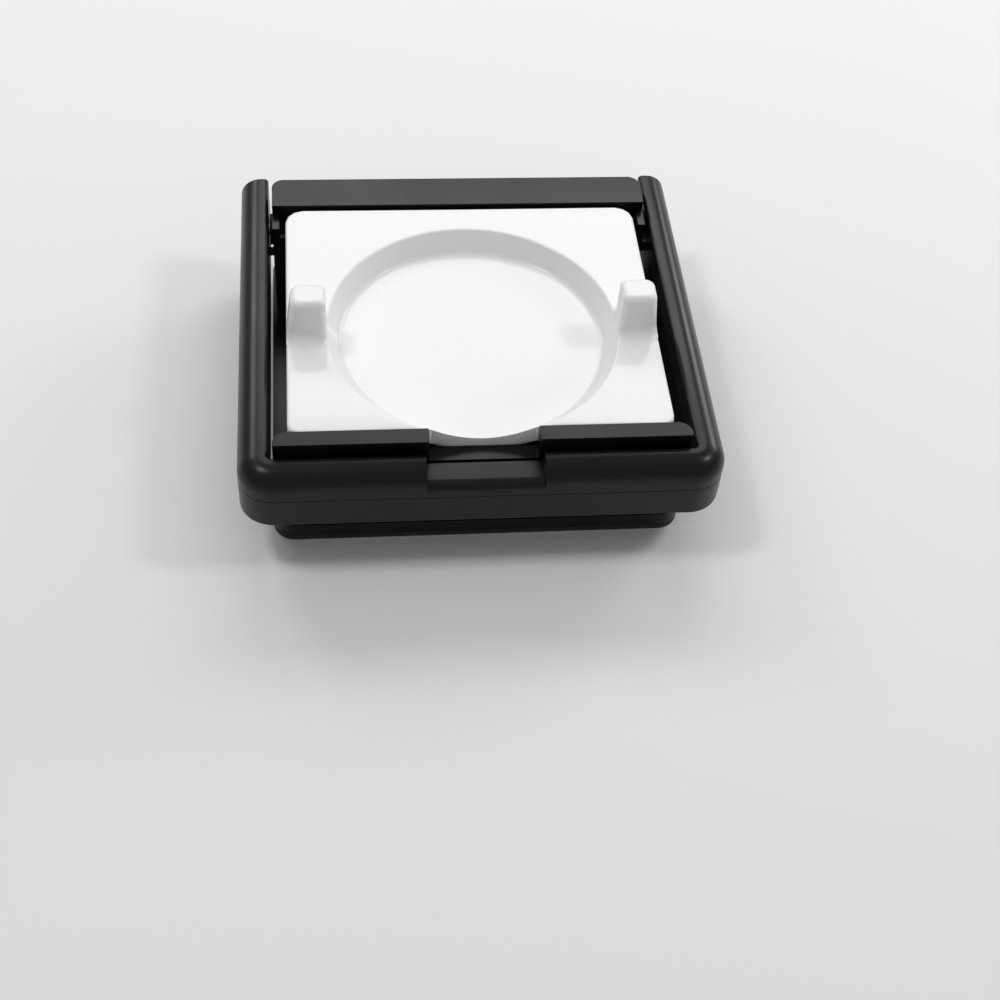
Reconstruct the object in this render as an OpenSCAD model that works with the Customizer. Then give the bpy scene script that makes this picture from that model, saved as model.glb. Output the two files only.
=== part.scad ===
/* [Base] */
// Width of the base body between the stand's arms
base_w = 120.4; // [116:0.2:130]
// Depth of the base body, front to back
base_d = 115; // [112:0.2:130]
// Height of the base body above its bottom plate
frame_h = 34.5; // [33:0.5:38]
// Height of the front and rear bars above the side walls
bar_rise = 3.4; // [2:0.1:4.4]
// Thickness of the front wall and its two raised bars
front_bar_t = 5.2; // [4.6:0.1:7]
// Depth of the rear bar
rear_bar_t = 12.8; // [11:0.1:16]
// Thickness of the side walls
side_wall_t = 2.2; // [1.8:0.1:3]
// Thickness of the hollow rear bar's walls and of the tray ledge
inner_wall_t = 2.4; // [1.8:0.1:3]
// Radius of the base's rear corners, seen from above
rear_corner_r = 3.8; // [2:0.1:6]
// Radius of the base's front corners, seen from above
front_corner_r = 1; // [0.4:0.1:2]
// Radius of the front bars' rear corners, seen from above
bar_end_r = 4.2; // [2:0.1:4.4]
// Width of the notch that a handle lies in
notch_w = 32; // [28:0.5:36]
// Depth of the notch below the tops of the bars
notch_depth = 8; // [7:0.1:9]
// Radius in the bottom corners of the notch
notch_r = 1; // [0.5:0.1:2]
// Width of the ledge that the tray stands on
ledge_w = 5.5; // [4:0.1:7]
// Distance from the back of the base to the rear end of its narrow waist beside the tray
waist_rear = 20; // [19:0.1:24]

/* [Bottom plate and sole] */
// How far the bottom plate reaches past the base body
flange = 1.2; // [0.6:0.1:3]
// Radius of the bottom plate's corners
plate_r = 6.5; // [5:0.5:10]
// Height of the bottom plate
plate_t = 4.9; // [4.2:0.1:6]
// Thickness of the bottom plate's rim and of its top
plate_wall = 2.4; // [1.8:0.1:2.4]
// Thickness of the rubber sole
sole_t = 1.9; // [1.5:0.1:3]

/* [Lid stand] */
// Width of an arm and of the crossbar, inner face to outer face
arm_t = 9; // [8.4:0.1:11]
// Height of the stand's bar section
stand_h = 19.8; // [19:0.1:21]
// Height of the lower shell, bottom to parting seam
seam_h = 10.5; // [9:0.1:12]
// Radius along the stand's upper outer edge
crown_r = 6.6; // [4:0.1:7]
// Radius along the stand's upper inner edge
lip_r = 1.4; // [0.6:0.1:2]
// Radius of the stand's inner corners, seen from above
stand_corner_r = 1; // [0.5:0.1:3]
// Wall thickness of the two shells
shell_t = 2; // [1.6:0.1:2.4]
// Width of the crossbar's notch
stand_notch_w = 34; // [30:0.5:38]
// Depth of the crossbar's notch
stand_notch_depth = 4.6; // [3:0.1:5.6]
// Radius at the top of the notch floor's front edge
stand_notch_r = 3; // [1:0.1:4]
// Gap between the stand's arms and the base
side_gap = 1.3; // [1.3:0.1:1.8]
// Gap between the crossbar and the base
front_gap = 1.1; // [1:0.1:2]
// How far the arms reach behind the base
arm_overhang = 4.7; // [2:0.1:6]

/* [Hinge] */
// Distance of the hinge axis from the ends of the arms
hinge_inset = 16; // [15:0.1:17]
// Distance of the hinge axis below the top of the arms
hinge_drop = 7.6; // [7.2:0.1:8.2]
// Radius of the hinge pins
pin_r = 2; // [1.5:0.1:2.5]
// Length of a pin inside the base
pin_in = 9; // [6:0.5:12]
// Length of a pin inside an arm
pin_out = 5; // [4:0.1:5.5]
// Radius of the bosses round the pins
pin_boss_r = 4.6; // [3.6:0.1:4.8]
// Radius of the round hinge cheek in each arm
cheek_r = 10.2; // [9.9:0.1:10.8]
// Thickness of the hinge cheek
cheek_t = 3.6; // [3:0.1:4.2]
// Angle that the stand opens to
open_angle = 105; // [95:1:115]
// Distance of the stop peg from the hinge axis
peg_ring_r = 7.2; // [7:0.1:7.5]
// Radius of the stop peg
peg_r = 1.4; // [1:0.1:1.5]
// Depth of the groove that the stop peg runs in
groove_depth = 2.2; // [1.8:0.1:2.6]
// Radius of the washers
washer_r = 5; // [4:0.1:5.3]
// Thickness of the washers
washer_t = 1; // [0.6:0.05:1]

/* [Drip tray] */
// Distance of the tray's top below the tops of the bars
tray_drop = 0.8; // [0.5:0.1:1.5]
// Wall thickness of the tray
tray_wall = 2.2; // [1.8:0.1:2.4]
// Height of the tray's skirt, its top plate included
skirt_h = 6.2; // [5.6:0.1:7]
// Radius of the tray's rear corners
tray_corner_r = 5.5; // [3:0.1:8]
// Radius of the tray's front corners
tray_front_r = 3; // [1:0.1:4]
// Radius of the well at its rim
well_r = 44; // [38:0.5:45]
// Radius of the well at its floor
well_floor_r = 40; // [34:0.5:41]
// Depth of the well
well_depth = 6.3; // [5:0.1:7]
// Distance of the well's middle from the front of the base
well_setback = 46.7; // [42:0.1:48]
// Height of the two lugs above the tray's top
lug_h = 14.6; // [10:0.1:17]
// Depth of a lug, front to back
lug_d = 9.4; // [8:0.1:14]
// How far a lug's outer side leans in over its height
lug_lean = 1.7; // [1:0.1:4]
// Distance of the lugs' front faces from the well's middle, towards the front
lug_forward = 4.6; // [0:0.1:6]
// Radius of a lug's upper edges
lug_r = 2; // [1:0.1:2.5]
// Gap between the tray and the side walls
tray_side_gap = 2; // [1.5:0.1:2.4]
// Gap between the tray and the rear bar
tray_rear_gap = 1.2; // [0.3:0.1:1.5]
// Gap between the tray and the front bars
tray_front_gap = 0.3; // [0.3:0.05:0.8]

/* [Screws] */
// Radius of the shafts of the base screws
base_screw_r = 1.5; // [1.2:0.1:1.8]
// Radius of the heads of the base screws
base_head_r = 3.1; // [2.6:0.1:3.4]
// Height of the heads of the base screws
base_head_t = 1.8; // [1.4:0.1:1.8]
// Length of the base screws under the head
base_screw_l = 12; // [10:0.5:14]
// Radius of the bosses that take the base screws
base_boss_r = 4; // [3.6:0.1:4.2]
// Height of the bosses that take the base screws
base_boss_h = 15; // [14:0.5:20]
// Distance of the front base screws from the front of the base
base_screw_front = 14; // [12:0.5:20]
// Distance of the rear base screws from the rear of the base
base_screw_rear = 27; // [24:0.5:32]
// Radius of the shafts of the stand screws
stand_screw_r = 1; // [0.8:0.1:1.2]
// Radius of the heads of the stand screws
stand_head_r = 1.8; // [1.5:0.1:1.9]
// Height of the heads of the stand screws
stand_head_t = 1.4; // [1:0.1:1.8]
// Length of the stand screws under the head
stand_screw_l = 10; // [8:0.5:11]
// Depth of the recesses for the heads of the stand screws
stand_head_depth = 5; // [4:0.5:5.5]
// Length of the blocks that take the stand screws
stand_boss_l = 7; // [6:0.5:9]
// Distance of the crossbar's two screws from the middle
cross_screw_x = 38; // [30:0.5:45]
// Distance of the arms' front screws from the front of the stand
arm_screw_front = 28; // [22:0.5:34]
// Distance of the arms' rear screws from the ends of the arms
arm_screw_rear = 48; // [44:0.5:54]

/* [Hidden] */

// How far a cut runs past the solid that it cuts
overrun = 1;
// Radial clearance of a shaft that turns or passes in a hole
run_clear = 0.05;
// Clearance beside pieces that are dropped in or screwed on
seat_clear = 0.2;
// Clearance round a hinge cheek
cheek_clear = 0.2;
// Radius of the edge round the stand's bottom
stand_edge_r = 0.6;
// Height, thickness and length of the ribs that hold the tray sideways
rib_h = 2;
rib_t = 1.2;
rib_l = 12;
// Gap between the ledge and the bowl under the well
ledge_clear = 1.2;
// Thickness left round the hollow of a lug
lug_wall = 2.6;
// Share of a screw head's radius that its cross recess reaches
recess_share = 0.6;
// Smoothness of the arcs
arc_fn = 64;
// Steps along the rounded corner of a lug
corner_steps = 8;

// Heights
plate_z = sole_t;
frame_z = plate_z + plate_t;
top_z = frame_z + frame_h;
side_z = top_z - bar_rise;
stand_z = side_z - stand_h;
tray_z = top_z - tray_drop;
seat_z = tray_z - skirt_h;
floor_z = tray_z - well_depth;

// Plan, with the origin under the middle of the whole object
stand_d = arm_t + front_gap + base_d + arm_overhang;
stand_front_y = -stand_d / 2;
stand_rear_y = stand_d / 2;
cross_y = stand_front_y + arm_t;
front_y = cross_y + front_gap;
rear_y = front_y + base_d;
stand_in_w = base_w + 2 * side_gap;
corner_x = stand_in_w / 2 - stand_corner_r;
corner_y = cross_y + stand_corner_r;
pocket_w = base_w - 2 * side_wall_t;
pocket_front_y = front_y + front_bar_t;
pocket_rear_y = rear_y - rear_bar_t;
tray_w = pocket_w - 2 * tray_side_gap;
tray_front_y = pocket_front_y + tray_front_gap;
tray_rear_y = pocket_rear_y - tray_rear_gap;
tray_d = tray_rear_y - tray_front_y;
waist_x = tray_w / 2 + seat_clear;
waist_rear_y = rear_y - waist_rear;
well_y = front_y + well_setback;
hinge_y = stand_rear_y - hinge_inset;
hinge_z = side_z - hinge_drop;

// Angle of the stop peg below and in front of the hinge axis, so that its groove lies under the axis
peg_angle = -90 - open_angle / 2;
groove_r = peg_r + seat_clear;
groove_end_r = peg_r + seat_clear / 2;
// Places of the screws
base_screw_x = waist_x - side_wall_t / 2 - base_boss_r;
base_screw_ys = [front_y + base_screw_front, rear_y - base_screw_rear];
arm_screw_x = stand_in_w / 2 + arm_t / 2;
arm_screw_ys = [stand_front_y + arm_screw_front, stand_rear_y - arm_screw_rear];

// Takes the corner off a flat outline and leaves a quarter circle, whose middle lies towards (dx, dy)
module corner_cut(r, dx, dy) {
    difference() {
        square(2 * r, center = true);
        translate([dx * r, dy * r]) circle(r = r, $fn = arc_fn);
    }
}

// A flat outline w wide that runs back from y = 0, with its own radii in front and behind
module plan(w, d, front_r, back_r) {
    difference() {
        translate([-w / 2, 0]) square([w, d]);
        for (s = [-1, 1]) {
            if (front_r > 0) translate([s * w / 2, 0]) corner_cut(front_r, -s, 1);
            if (back_r > 0) translate([s * w / 2, d]) corner_cut(back_r, -s, -1);
        }
    }
}

// Puts a child on the hinge axis: its z runs outwards from the side of the base, its y upwards
module at_hinge(side) {
    mirror([side < 0 ? 1 : 0, 0, 0])
        translate([base_w / 2, hinge_y, hinge_z])
            rotate([90, 0, 90]) children();
}

// Puts a child at each base screw
module at_base_screws() {
    for (x = [-base_screw_x, base_screw_x], y = base_screw_ys)
        translate([x, y, 0]) children();
}

// Puts a child at each stand screw; the screws of the arms are a quarter turn round
module at_stand_screws() {
    for (x = [-arm_screw_x, arm_screw_x], y = arm_screw_ys)
        translate([x, y, stand_z]) children();
    for (x = [-cross_screw_x, cross_screw_x])
        translate([x, cross_y - arm_t / 2, stand_z]) rotate([0, 0, 90]) children();
}

// Base: the black frame round the drip tray

// Section of the notch, with rounded bottom corners, z from the floor of the notch
module notch_section(w, h, r) {
    difference() {
        translate([-w / 2, 0]) square([w, h]);
        for (s = [-1, 1]) translate([s * w / 2, 0]) corner_cut(r, -s, 1);
    }
}

module frame_block() {
    translate([0, 0, frame_z]) {
        linear_extrude(side_z - frame_z) difference() {
            translate([0, front_y]) plan(base_w, base_d, front_corner_r, rear_corner_r);
            // The front wall ends in the same round corners as its bars
            for (s = [-1, 1]) translate([s * base_w / 2, pocket_front_y]) intersection() {
                corner_cut(bar_end_r, -s, -1);
                translate([-bar_end_r, -bar_end_r]) square([2 * bar_end_r, bar_end_r]);
            }
        }
        linear_extrude(frame_h) {
            translate([0, front_y]) plan(base_w, front_bar_t, front_corner_r, bar_end_r);
            translate([0, pocket_rear_y]) plan(base_w, rear_bar_t, 0, rear_corner_r);
        }
    }
}

// Opening inside the ledge, with room for the bowl under the well
module ledge_opening() {
    translate([0, 0, seat_z - inner_wall_t - overrun]) {
        translate([-pocket_w / 2 + ledge_w, pocket_front_y + ledge_w, 0])
            cube([pocket_w - 2 * ledge_w, pocket_rear_y - pocket_front_y - 2 * ledge_w,
                inner_wall_t + 2 * overrun]);
        intersection() {
            translate([0, well_y, 0])
                cylinder(r = well_r + tray_wall + ledge_clear, h = inner_wall_t + 2 * overrun, $fn = arc_fn);
            translate([-pocket_w / 2, pocket_front_y, 0])
                cube([pocket_w, pocket_rear_y - pocket_front_y, inner_wall_t + 2 * overrun]);
        }
    }
}

// Space at both sides where the base is narrower than its bars, grown by a wall towards the inside
module waist_sides(wall) {
    for (s = [0, 1]) mirror([s, 0, 0])
        translate([waist_x - wall, pocket_front_y - wall, frame_z - 2 * overrun])
            cube([base_w / 2 - waist_x + wall + overrun, waist_rear_y - pocket_front_y + 2 * wall,
                frame_h + 3 * overrun]);
}

module tray_ribs() {
    rib_x = tray_w / 2 - tray_wall - seat_clear - rib_t;
    for (s = [0, 1], y = [pocket_front_y + ledge_w, pocket_rear_y - ledge_w - rib_l])
        mirror([s, 0, 0]) translate([rib_x, y, seat_z - inner_wall_t])
            cube([rib_t, rib_l, inner_wall_t + rib_h]);
}

module base_frame() {
    color("#1b1c1e") {
        difference() {
            frame_block();
            // Pocket for the tray
            translate([-pocket_w / 2, pocket_front_y, seat_z])
                cube([pocket_w, pocket_rear_y - pocket_front_y, top_z - seat_z + overrun]);
            ledge_opening();
            // Room under the ledge
            difference() {
                translate([-pocket_w / 2, pocket_front_y, frame_z - overrun])
                    cube([pocket_w, pocket_rear_y - pocket_front_y, seat_z - inner_wall_t - frame_z + overrun]);
                at_base_screws() cylinder(r = base_boss_r, h = frame_z + base_boss_h, $fn = arc_fn);
                hinge_bosses();
                waist_sides(side_wall_t);
            }
            waist_sides(0);
            // Hollow of the rear bar
            difference() {
                translate([-pocket_w / 2, pocket_rear_y + inner_wall_t, frame_z - overrun])
                    cube([pocket_w, rear_bar_t - 2 * inner_wall_t, top_z - inner_wall_t - frame_z + overrun]);
                hinge_bosses();
            }
            // Notch that a handle lies in
            translate([0, pocket_front_y + overrun, top_z - notch_depth]) rotate([90, 0, 0])
                linear_extrude(front_bar_t + 2 * overrun)
                    notch_section(notch_w, notch_depth + overrun, notch_r);
            at_base_screws() translate([0, 0, frame_z - overrun])
                cylinder(r = base_screw_r + run_clear, h = base_screw_l + overrun, $fn = arc_fn);
            for (side = [-1, 1]) at_hinge(side) translate([0, 0, -pin_in])
                cylinder(r = pin_r, h = pin_in + overrun, $fn = arc_fn);
        }
        tray_ribs();
        for (side = [-1, 1]) at_hinge(side) stop_peg();
    }
}

// Bosses on the inside of the side walls that hold the pins
module hinge_bosses() {
    for (side = [-1, 1]) at_hinge(side) translate([0, 0, -pin_in - inner_wall_t])
        cylinder(r = pin_boss_r, h = pin_in + inner_wall_t, $fn = arc_fn);
}

// Peg that runs in the arm's groove and stops the stand
module stop_peg() {
    rotate([0, 0, peg_angle]) translate([peg_ring_r, 0, -side_wall_t / 2])
        cylinder(r = peg_r, h = side_wall_t / 2 + side_gap + groove_depth - seat_clear, $fn = arc_fn);
}

// Bottom plate, sole and their screws

module foot_plan(inset) {
    translate([0, front_y - flange + inset])
        plan(base_w + 2 * flange - 2 * inset, base_d + 2 * flange - 2 * inset,
            plate_r - inset, plate_r - inset);
}

module base_plate() {
    color("#202123") difference() {
        translate([0, 0, plate_z]) linear_extrude(plate_t) foot_plan(0);
        difference() {
            translate([0, 0, plate_z - overrun])
                linear_extrude(plate_t - plate_wall + overrun) foot_plan(plate_wall);
            plate_ribs();
        }
        at_base_screws() translate([0, 0, plate_z])
            cylinder(r = base_screw_r + seat_clear, h = plate_t + overrun, $fn = arc_fn);
    }
}

// Two ribs across the hollow of the bottom plate
module plate_ribs() {
    for (y = [front_y + base_d / 3, front_y + 2 * base_d / 3])
        translate([-base_w / 2, y - plate_wall / 2, plate_z])
            cube([base_w, plate_wall, plate_t - plate_wall]);
}

module non_slip_sole() {
    color("#121212") difference() {
        linear_extrude(sole_t) foot_plan(0);
        at_base_screws() translate([0, 0, -overrun])
            cylinder(r = base_head_r + seat_clear, h = sole_t + 2 * overrun, $fn = arc_fn);
    }
}

// A pan head screw that points upwards, with the underside of its head at z = 0
module screw(shaft_r, length, head_r, head_t) {
    cylinder(r = shaft_r, h = length, $fn = arc_fn);
    difference() {
        translate([0, 0, -head_t]) cylinder(r = head_r, h = head_t, $fn = arc_fn);
        // Cross recess
        for (a = [0, 90]) rotate([0, 0, a])
            translate([-head_r * recess_share, -shaft_r / 4, -head_t - overrun])
                cube([2 * head_r * recess_share, shaft_r / 2, head_t / 2 + overrun]);
    }
}

module base_screws() {
    color("#8d9094") at_base_screws() translate([0, 0, frame_z - plate_wall])
        screw(base_screw_r, base_screw_l, base_head_r, base_head_t);
}

// Hinge

module hinge_pin(side) {
    color("#a7abb0") at_hinge(side) translate([0, 0, -pin_in])
        cylinder(r = pin_r, h = pin_in + side_gap + pin_out, $fn = arc_fn);
}
module hinge_pin_left() { hinge_pin(-1); }
module hinge_pin_right() { hinge_pin(1); }

module hinge_washer(side) {
    color("#d8d6cf") at_hinge(side) difference() {
        cylinder(r = washer_r, h = washer_t, $fn = arc_fn);
        translate([0, 0, -overrun])
            cylinder(r = pin_r + run_clear, h = washer_t + 2 * overrun, $fn = arc_fn);
    }
}
module hinge_washer_left() { hinge_washer(-1); }
module hinge_washer_right() { hinge_washer(1); }

// Lid stand: a U of two shells, x of a section from its inner face to its outer face

module stand_section() {
    difference() {
        square([arm_t, stand_h]);
        translate([arm_t, stand_h]) corner_cut(crown_r, -1, -1);
        translate([0, stand_h]) corner_cut(lip_r, 1, -1);
        translate([arm_t, 0]) corner_cut(stand_edge_r, -1, 1);
    }
}

// Hollow of the section, from the lower shell's floor to the inside of the crown
module hollow_section() {
    difference() {
        translate([shell_t, shell_t]) square([arm_t - 2 * shell_t, stand_h - 2 * shell_t]);
        translate([arm_t - shell_t, stand_h - shell_t]) corner_cut(crown_r - shell_t, -1, -1);
    }
}

// Runs a section round the U; the arms stop short of their ends by end_gap
module stand_sweep(end_gap) {
    for (s = [0, 1]) mirror([s, 0, 0]) {
        translate([stand_in_w / 2, stand_rear_y - end_gap, stand_z]) rotate([90, 0, 0])
            linear_extrude(stand_rear_y - end_gap - corner_y) children();
        translate([corner_x, corner_y, stand_z]) rotate([0, 0, -90])
            rotate_extrude(angle = 90, $fn = arc_fn) translate([stand_corner_r, 0]) children();
    }
    translate([corner_x, cross_y, stand_z]) rotate([90, 0, -90])
        linear_extrude(2 * corner_x) children();
}

// Round cheeks that carry the hinge in the arms
module hinge_cheeks(clear) {
    for (side = [-1, 1]) at_hinge(side) translate([0, 0, side_gap - overrun])
        cylinder(r = cheek_r + clear, h = cheek_t + clear + overrun, $fn = arc_fn);
}

// Sleeves behind the cheeks, round the ends of the pins
module pin_sleeves() {
    for (side = [-1, 1]) at_hinge(side) translate([0, 0, side_gap + cheek_t - overrun])
        cylinder(r = pin_boss_r, h = arm_t - shell_t - cheek_t + overrun, $fn = arc_fn);
}

// Solid blocks in the shells that the screws pass through
module screw_blocks() {
    at_stand_screws() translate([-arm_t / 2, -stand_boss_l / 2, 0])
        cube([arm_t, stand_boss_l, stand_h]);
}

// Walls under and beside the notch
module notch_block() {
    translate([-stand_notch_w / 2 - shell_t, stand_front_y, side_z - stand_notch_depth - shell_t])
        cube([stand_notch_w + 2 * shell_t, arm_t, stand_notch_depth + shell_t]);
}

// Notch in the crossbar, whose floor rounds down to the front face
module stand_notch() {
    translate([0, cross_y + overrun, side_z - stand_notch_depth]) rotate([90, 0, 0])
        linear_extrude(arm_t + 2 * overrun)
            notch_section(stand_notch_w, stand_notch_depth + overrun, notch_r);
    translate([-stand_notch_w / 2, stand_front_y, side_z - stand_notch_depth]) rotate([90, 0, 90])
        linear_extrude(stand_notch_w) corner_cut(stand_notch_r, 1, -1);
}

// Groove in a cheek for the stop peg, over the whole travel
module stop_groove() {
    rotate([0, 0, peg_angle]) {
        rotate_extrude(angle = open_angle, $fn = arc_fn)
            translate([peg_ring_r - groove_r, -overrun]) square([2 * groove_r, groove_depth + overrun]);
        for (a = [0, open_angle]) rotate([0, 0, a]) translate([peg_ring_r, 0, -overrun])
            cylinder(r = groove_end_r, h = groove_depth + overrun, $fn = arc_fn);
    }
}

module stand_upper_shell() {
    color("#1d1e20") difference() {
        union() {
            stand_sweep(0) intersection() {
                stand_section();
                translate([-overrun, seam_h]) square([arm_t + 2 * overrun, stand_h]);
            }
            intersection() {
                stand_sweep(0) stand_section();
                hinge_cheeks(0);
            }
            pin_sleeves();
        }
        difference() {
            stand_sweep(shell_t) hollow_section();
            hinge_cheeks(0);
            pin_sleeves();
            notch_block();
            screw_blocks();
        }
        stand_notch();
        at_stand_screws()
            cylinder(r = stand_screw_r + run_clear, h = stand_head_depth + stand_screw_l, $fn = arc_fn);
        for (side = [-1, 1]) at_hinge(side) {
            cylinder(r = pin_r + run_clear, h = side_gap + pin_out + seat_clear, $fn = arc_fn);
            translate([0, 0, side_gap]) stop_groove();
        }
    }
}

module stand_lower_shell() {
    color("#191a1c") difference() {
        stand_sweep(0) intersection() {
            stand_section();
            square([arm_t, seam_h]);
        }
        difference() {
            stand_sweep(shell_t) hollow_section();
            screw_blocks();
        }
        hinge_cheeks(cheek_clear);
        at_stand_screws() {
            cylinder(r = stand_screw_r + seat_clear, h = stand_h, $fn = arc_fn);
            translate([0, 0, -overrun])
                cylinder(r = stand_head_r + seat_clear, h = stand_head_depth + overrun, $fn = arc_fn);
        }
    }
}

module stand_screws() {
    color("#8d9094") at_stand_screws() translate([0, 0, stand_head_depth])
        screw(stand_screw_r, stand_screw_l, stand_head_r, stand_head_t);
}

// Drip tray: a white moulding that lifts out of the base

module tray_plan(inset) {
    translate([0, tray_front_y + inset])
        plan(tray_w - 2 * inset, tray_d - 2 * inset, tray_front_r - inset, tray_corner_r - inset);
}

// The well's bowl, grown by a wall, from its floor to the tray's top
module bowl(grow) {
    translate([0, well_y, floor_z - grow])
        cylinder(r1 = well_floor_r + grow, r2 = well_r + grow, h = well_depth + grow, $fn = arc_fn);
}

// A lug on the right side of the well: upright from the side, leaning in from the front
module lug(shrink) {
    front = well_y - lug_forward + shrink;
    depth = lug_d - 2 * shrink;
    outer = tray_w / 2 - shrink;
    inner = well_r - tray_wall;
    height = skirt_h + lug_h - shrink;
    intersection() {
        translate([inner, front, seat_z]) rotate([90, 0, 90]) linear_extrude(outer - inner)
            difference() {
                square([depth, height]);
                translate([0, height]) corner_cut(lug_r, 1, -1);
                translate([depth, height]) corner_cut(lug_r, -1, -1);
            }
        translate([0, front + depth, seat_z]) rotate([90, 0, 0]) linear_extrude(depth)
            polygon(concat([[inner, height], [inner, 0], [outer, 0], [outer, skirt_h]],
                lug_corner(outer, height)));
    }
}

// Arc over the lug's leaning outer corner
function lug_corner(outer, height) =
    let (lean = atan(lug_lean / lug_h), z = height - lug_r,
        x = outer - (z - skirt_h) * tan(lean) - lug_r / cos(lean))
    [for (i = [0:corner_steps]) let (a = lean + (90 - lean) * i / corner_steps)
        [x + lug_r * cos(a), z + lug_r * sin(a)]];

module drip_tray() {
    color("#f4f4f2") difference() {
        union() {
            difference() {
                translate([0, 0, seat_z]) linear_extrude(skirt_h) tray_plan(0);
                translate([0, 0, seat_z - overrun])
                    linear_extrude(skirt_h - tray_wall + overrun) tray_plan(tray_wall);
            }
            intersection() {
                bowl(tray_wall);
                translate([0, 0, floor_z - tray_wall])
                    linear_extrude(well_depth + tray_wall) tray_plan(0);
            }
            for (s = [0, 1]) mirror([s, 0, 0]) lug(0);
        }
        bowl(0);
        // The well's wall runs on upwards along the lugs
        translate([0, well_y, tray_z - overrun / 2])
            cylinder(r = well_r, h = lug_h + overrun, $fn = arc_fn);
        // Hollow of the lugs
        for (s = [0, 1]) mirror([s, 0, 0]) difference() {
            translate([0, 0, -overrun]) lug(lug_wall);
            translate([0, well_y, 0]) cylinder(r = well_r + lug_wall, h = tray_z + 2 * lug_h, $fn = arc_fn);
        }
    }
}

base_frame();
base_plate();
non_slip_sole();
base_screws();
hinge_pin_left();
hinge_pin_right();
hinge_washer_left();
hinge_washer_right();
stand_upper_shell();
stand_lower_shell();
stand_screws();
drip_tray();
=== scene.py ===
# %% [markdown]
# # Spoon rest with a folding lid stand and a lift-out drip tray
#
# This lesson dresses a spoon rest in Blender. The CAD model gives every size and every moving body. Blender gives
# the soft edges, the glossy and the satin plastic, the rubber and the steel, and the light.
# Sizes are written in millimetres and turned into metres when a mesh is made.

# %% Load the CAD frame
import math

import bmesh
import bpy
from mathutils import Matrix, Vector


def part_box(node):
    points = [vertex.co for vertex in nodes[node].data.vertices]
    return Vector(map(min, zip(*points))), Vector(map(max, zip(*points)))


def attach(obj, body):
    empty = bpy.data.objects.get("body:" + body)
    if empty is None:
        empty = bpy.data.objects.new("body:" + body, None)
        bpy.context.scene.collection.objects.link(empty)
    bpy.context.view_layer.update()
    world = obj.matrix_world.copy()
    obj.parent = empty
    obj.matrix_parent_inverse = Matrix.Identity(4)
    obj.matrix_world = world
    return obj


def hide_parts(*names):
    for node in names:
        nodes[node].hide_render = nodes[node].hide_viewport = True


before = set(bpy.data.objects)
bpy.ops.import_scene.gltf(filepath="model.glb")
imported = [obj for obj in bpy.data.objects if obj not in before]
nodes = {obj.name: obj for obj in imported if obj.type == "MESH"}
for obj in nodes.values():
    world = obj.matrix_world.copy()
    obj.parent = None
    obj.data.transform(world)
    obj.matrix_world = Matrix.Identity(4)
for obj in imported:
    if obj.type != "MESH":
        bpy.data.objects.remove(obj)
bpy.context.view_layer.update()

print("CAD nodes:", ", ".join(sorted(nodes)))

# %% [markdown]
# ## Units and boxes
#
# The outer sizes come from the boxes of the CAD nodes, so that the dressed pieces follow the CAD when it changes.
# Only what a box can't tell, such as the radius of the well, is written out, at the step that needs it.

# %% Boxes in millimetres
MM = 0.001


def box_mm(node):
    """Lowest and highest corner of a CAD node in millimetres."""
    low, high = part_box(node)
    return [v / MM for v in low], [v / MM for v in high]


for node in sorted(nodes):
    print(node, "in mm:", [round(high - low, 1) for low, high in zip(*box_mm(node))])

# %% [markdown]
# ## Shared finishes
#
# Real mouldings are never one flat value. The same two effects are used again and again: the fine grain of the
# mould, and the faint marks of handling. Each is built once as a node group with its own inputs and placed in every
# material with that material's values. Object coordinates keep them fixed to the piece.

# %% Node group: fine mould grain
def new_group(name, inputs, outputs):
    """A shader node group with plain value inputs and outputs."""
    group = bpy.data.node_groups.new(name, "ShaderNodeTree")
    for label, kind, value in inputs:
        socket = group.interface.new_socket(label, in_out="INPUT", socket_type=kind)
        if value is not None:
            socket.default_value = value
    for label, kind in outputs:
        group.interface.new_socket(label, in_out="OUTPUT", socket_type=kind)
    return group, group.nodes.new("NodeGroupInput"), group.nodes.new("NodeGroupOutput")


def wire(tree, pairs):
    """Joins pairs of sockets."""
    for source, target in pairs:
        tree.links.new(source, target)


grain, g_in, g_out = new_group(
    "Mould grain",
    [("Vector", "NodeSocketVector", None), ("Scale", "NodeSocketFloat", 900.0), ("Coarse", "NodeSocketFloat", 0.35)],
    [("Height", "NodeSocketFloat")],
)
fine = grain.nodes.new("ShaderNodeTexNoise")
fine.inputs["Detail"].default_value = 3.0
cells = grain.nodes.new("ShaderNodeTexVoronoi")
cells.inputs["Randomness"].default_value = 1.0
mix = grain.nodes.new("ShaderNodeMix")
mix.data_type = "FLOAT"
wire(grain, [
    (g_in.outputs["Vector"], fine.inputs["Vector"]), (g_in.outputs["Scale"], fine.inputs["Scale"]),
    (g_in.outputs["Vector"], cells.inputs["Vector"]), (g_in.outputs["Scale"], cells.inputs["Scale"]),
    (g_in.outputs["Coarse"], mix.inputs[0]), (fine.outputs["Fac"], mix.inputs[2]),
    (cells.outputs["Distance"], mix.inputs[3]), (mix.outputs[0], g_out.inputs["Height"]),
])
print("group:", grain.name)

# %% [markdown]
# Hands and cloths leave a moulding a little shinier in some places than in others. A painted mask could show that, but
# a broad cloud of noise does the same on any shape. The cloud is spread over the range between two roughness values.

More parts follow.
